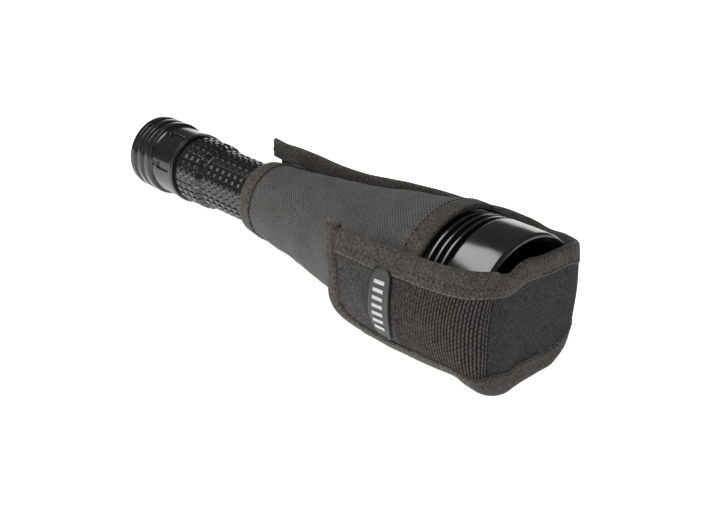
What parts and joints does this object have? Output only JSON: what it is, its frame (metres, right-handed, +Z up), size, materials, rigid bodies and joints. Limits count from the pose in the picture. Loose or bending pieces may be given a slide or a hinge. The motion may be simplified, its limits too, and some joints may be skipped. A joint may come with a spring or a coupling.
{
  "type": "holstered tactical flashlight",
  "caption": "Long-barrelled hand light with finned multi-emitter head, screwed tail cap and push switch, held in a sewn belt sleeve with a fold-over flap.",
  "frame": {"origin": "middle of the ground under the light as it lies on its tail ring and on the belly of the sleeve", "axes": "+X along the ground towards the head, +Y towards the belt side of the holster, +Z up; the light's own axis rises 4.63 degrees from tail to head"},
  "size_m": [0.306, 0.1002, 0.0843],
  "materials": {
    "anodised_aluminium": "hard black anodised aluminium, satin to gloss",
    "battery_sleeve": null,
    "spring_steel": "plated spring wire",
    "brass": "turned brass",
    "seal_rubber": "matt black silicone rubber",
    "moulded_plastic": "moulded black plastic",
    "red_insulation": "red silicone wire insulation",
    "circuit_board": "green solder-masked board",
    "led_board": "white-masked aluminium-core board",
    "phosphor": "yellow phosphor under a clear dome",
    "reflector_coating": "vacuum-coated smooth reflector",
    "lens_glass": "clear hardened glass with anti-reflection coating",
    "twill": "ribbed synthetic twill",
    "binding_tape": "folded woven binding tape with a stitch line",
    "web_weave": "plain woven webbing",
    "elastic_weave": "ribbed woven elastic",
    "hook_and_loop": "hook and loop fastening tape",
    "badge_rubber": "moulded rubber badge"
  },
  "bodies": {
    "holster": {"sleeve": "twill", "sleeve_tail_binding": "binding_tape", "sleeve_head_binding": "binding_tape", "loop_patch": "hook_and_loop", "back_panel": "web_weave", "back_upper_binding": "binding_tape", "back_lower_binding": "binding_tape", "belt_loop": "web_weave"},
    "light": {"battery_tube": "anodised_aluminium", "tail_cap_seal": "seal_rubber", "battery_cell_1": "battery_sleeve", "battery_cell_2": "battery_sleeve", "battery_cell_3": "battery_sleeve", "head_seal": "seal_rubber", "head_body": "anodised_aluminium", "driver_spring": "spring_steel", "driver_board": "circuit_board", "driver_inductor": "moulded_plastic", "led_lead_positive": "red_insulation", "led_lead_negative": "moulded_plastic", "led_board": "led_board", "emitter_1": "phosphor", "emitter_2": "phosphor", "emitter_3": "phosphor", "emitter_4": "phosphor", "emitter_5": "phosphor", "emitter_6": "phosphor", "emitter_7": "phosphor", "reflector": "reflector_coating", "lens_seal": "seal_rubber", "lens": "lens_glass", "bezel_ring": "anodised_aluminium"},
    "tail_carriage": {"tail_spring": "spring_steel"},
    "tail_cap": {"tail_cap": "anodised_aluminium", "switch_retaining_ring": "brass", "switch_module": "moulded_plastic", "tail_contact_board": "circuit_board"},
    "switch_button": {"switch_boot": "seal_rubber", "switch_plunger": "moulded_plastic"},
    "flap_end": {"flap_end_panel": "web_weave", "flap_end_upper_binding": "binding_tape", "flap_end_lower_binding": "binding_tape"},
    "flap_front": {"elastic_insert": "elastic_weave", "flap_front_panel": "web_weave", "flap_upper_binding": "binding_tape", "flap_lower_binding": "binding_tape", "flap_free_end_binding": "binding_tape", "hook_patch": "hook_and_loop", "badge": "badge_rubber"}
  },
  "joints": [
    {"name": "light_draw", "type": "slide", "parent": "holster", "child": "light", "axis": [0.9967, 0, 0.0808], "range_m": [0, 0.03]},
    {"name": "flap_swing", "type": "hinge", "parent": "holster", "child": "flap_end", "pos_m": [0.14498, 0.04007, 0.04621], "axis": [-0.0808, 0, 0.9967], "range_deg": [0, 150]},
    {"name": "flap_unfold", "type": "hinge", "parent": "flap_end", "child": "flap_front", "pos_m": [0.14768, -0.03733, 0.04642], "axis": [-0.0808, 0, 0.9967], "range_deg": [0, 80]},
    {"name": "tail_cap_travel", "type": "slide", "parent": "light", "child": "tail_carriage", "axis": [-0.9967, 0, -0.0808], "range_m": [0, 0.009]},
    {"name": "tail_cap_turn", "type": "hinge", "parent": "tail_carriage", "child": "tail_cap", "pos_m": [-0.13131, -0.00253, 0.02381], "axis": [-0.9967, 0, -0.0808], "range_deg": [0, 2160]},
    {"name": "switch_press", "type": "slide", "parent": "tail_cap", "child": "switch_button", "axis": [0.9967, 0, 0.0808], "range_m": [0, 0.0016], "stiffness_N_per_m": 2500}
  ],
  "couplings": [
    {"joint": "flap_swing", "follows": "light_draw", "rad_per_m": 87.266},
    {"joint": "flap_unfold", "follows": "light_draw", "rad_per_m": 46.542},
    {"joint": "tail_cap_turn", "follows": "tail_cap_travel", "rad_per_m": 4188.7}
  ]
}
